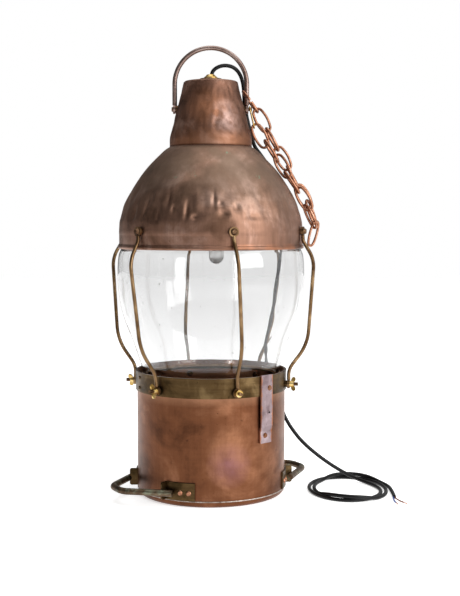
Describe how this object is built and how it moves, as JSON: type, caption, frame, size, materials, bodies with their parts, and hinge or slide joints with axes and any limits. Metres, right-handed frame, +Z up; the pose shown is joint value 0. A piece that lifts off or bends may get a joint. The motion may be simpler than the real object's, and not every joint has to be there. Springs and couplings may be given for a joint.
{
  "type": "ship lantern",
  "caption": "Copper ship's lantern with a clear barrel globe held by guard rods, a swinging bail, hanging chain, foot handles and an electric cable.",
  "frame": {"origin": "centre of the base pan's underside, on the lantern's axis, where it stands on a level surface", "axes": "+Z up along the lantern's axis, -Y to the front, +X to the lantern's right as seen in front view, the side of the chain and cable"},
  "size_m": [0.4149, 0.2898, 0.631],
  "materials": {
    "dome_copper": "aged dark brown copper",
    "collar_copper": "aged copper, satin",
    "base_copper": "aged bright copper, satin",
    "band_brass": "tarnished olive brass",
    "rod_brass": "tarnished brass",
    "bright_brass": "polished brass",
    "chain_copper": "worn copper",
    "bail_metal": "dark brown bronze",
    "handle_bronze": "grey-brown bronze with verdigris",
    "strap_metal": "purple-grey, weathered",
    "solder": "dull grey",
    "clear_glass": "clear, hand-worn",
    "bulb_glass": "clear",
    "gasket_cork": "dark, matte",
    "lamp_steel": "satin",
    "holder_black": "black moulded",
    "cable_black": "black, satin",
    "core_blue": "blue",
    "core_brown": "brown",
    "bare_copper": "bright copper"
  },
  "bodies": {
    "lantern": {"band_rivets": "band_brass", "band_studs": "rod_brass", "base_drum": "base_copper", "base_pan": "base_copper", "bracket_rivets": "band_brass", "brass_band": "band_brass", "cable_coil": "cable_black", "cable_tail": "cable_black", "chimney_cap": "collar_copper", "chimney_collar": "collar_copper", "chimney_cone": "dome_copper", "core_blue": "core_blue", "core_brown": "core_brown", "core_tips": "bare_copper", "dome_shell": "dome_copper", "dome_stud_collars": "rod_brass", "dome_studs": "rod_brass", "foot_bracket_left_a": "band_brass", "foot_bracket_left_b": "band_brass", "foot_bracket_right_a": "band_brass", "foot_bracket_right_b": "band_brass", "foot_handle_left": "handle_bronze", "foot_handle_right": "handle_bronze", "gland_flange": "bright_brass", "gland_nipple": "bright_brass", "glass_globe": "clear_glass", "guard_rod_front": "rod_brass", "guard_rod_front_left": "rod_brass", "guard_rod_left": "rod_brass", "guard_rod_rear_left": "rod_brass", "guard_rod_rear_right": "rod_brass", "guard_rod_right": "rod_brass", "lamp_lead": "cable_black", "lampholder": "holder_black", "lower_gallery": "band_brass", "lower_gasket": "gasket_cork", "pivot_bosses": "rod_brass", "pivot_rivets": "rod_brass", "power_cable": "cable_black", "solder_seam": "solder", "strap": "strap_metal", "strap_rivets": "base_copper", "stud_collars": "band_brass", "suspension_tube": "lamp_steel", "tube_locknut": "lamp_steel", "upper_gallery": "band_brass", "upper_gasket": "gasket_cork"},
    "bail": {"bail": "bail_metal", "chain_open_link": "chain_copper"},
    "chain": {"chain_upper": "chain_copper", "brass_link": "bright_brass"},
    "chain_end": {"chain_lower": "chain_copper"},
    "bulb": {"bulb_cap": "lamp_steel", "bulb_glass": "bulb_glass"},
    "round_nut_front": {"round_nut_front": "band_brass"},
    "wing_nut_right": {"wing_nut_right": "bright_brass"},
    "wing_nut_rear_right": {"wing_nut_rear_right": "bright_brass"},
    "wing_nut_rear_left": {"wing_nut_rear_left": "bright_brass"},
    "wing_nut_left": {"wing_nut_left": "bright_brass"},
    "wing_nut_front_left": {"wing_nut_front_left": "bright_brass"}
  },
  "joints": [
    {"name": "bail_swing", "type": "hinge", "parent": "lantern", "child": "bail", "pos_m": [0, 0, 0.5425], "axis": [1, 0, 0], "range_deg": [0, 75]},
    {"name": "chain_swing", "type": "hinge", "parent": "lantern", "child": "chain", "pos_m": [0.0632, 0, 0.5425], "axis": [1, 0, 0], "range_deg": [-60, 1]},
    {"name": "chain_end_swing", "type": "hinge", "parent": "chain", "child": "chain_end", "pos_m": [0.1085, 0, 0.4608], "axis": [0, -1, 0], "range_deg": [0, 10]},
    {"name": "bulb_turn", "type": "hinge", "parent": "lantern", "child": "bulb", "pos_m": [0, 0, 0.5822], "axis": [0.0314, 0, -0.9995], "continuous": true},
    {"name": "round_nut_front_turn", "type": "hinge", "parent": "lantern", "child": "round_nut_front", "pos_m": [0.03782, -0.1068, 0.157], "axis": [0.3338, -0.9426, 0], "continuous": true},
    {"name": "wing_nut_right_turn", "type": "hinge", "parent": "lantern", "child": "wing_nut_right", "pos_m": [0.1114, -0.02065, 0.157], "axis": [0.9833, -0.1822, 0], "continuous": true},
    {"name": "wing_nut_rear_right_turn", "type": "hinge", "parent": "lantern", "child": "wing_nut_rear_right", "pos_m": [0.07358, 0.08615, 0.157], "axis": [0.6494, 0.7604, 0], "continuous": true},
    {"name": "wing_nut_rear_left_turn", "type": "hinge", "parent": "lantern", "child": "wing_nut_rear_left", "pos_m": [-0.03782, 0.1068, 0.157], "axis": [-0.3338, 0.9426, 0], "continuous": true},
    {"name": "wing_nut_left_turn", "type": "hinge", "parent": "lantern", "child": "wing_nut_left", "pos_m": [-0.1114, 0.02065, 0.157], "axis": [-0.9833, 0.1822, 0], "continuous": true},
    {"name": "wing_nut_front_left_turn", "type": "hinge", "parent": "lantern", "child": "wing_nut_front_left", "pos_m": [-0.07358, -0.08615, 0.157], "axis": [-0.6494, -0.7604, 0], "continuous": true}
  ]
}
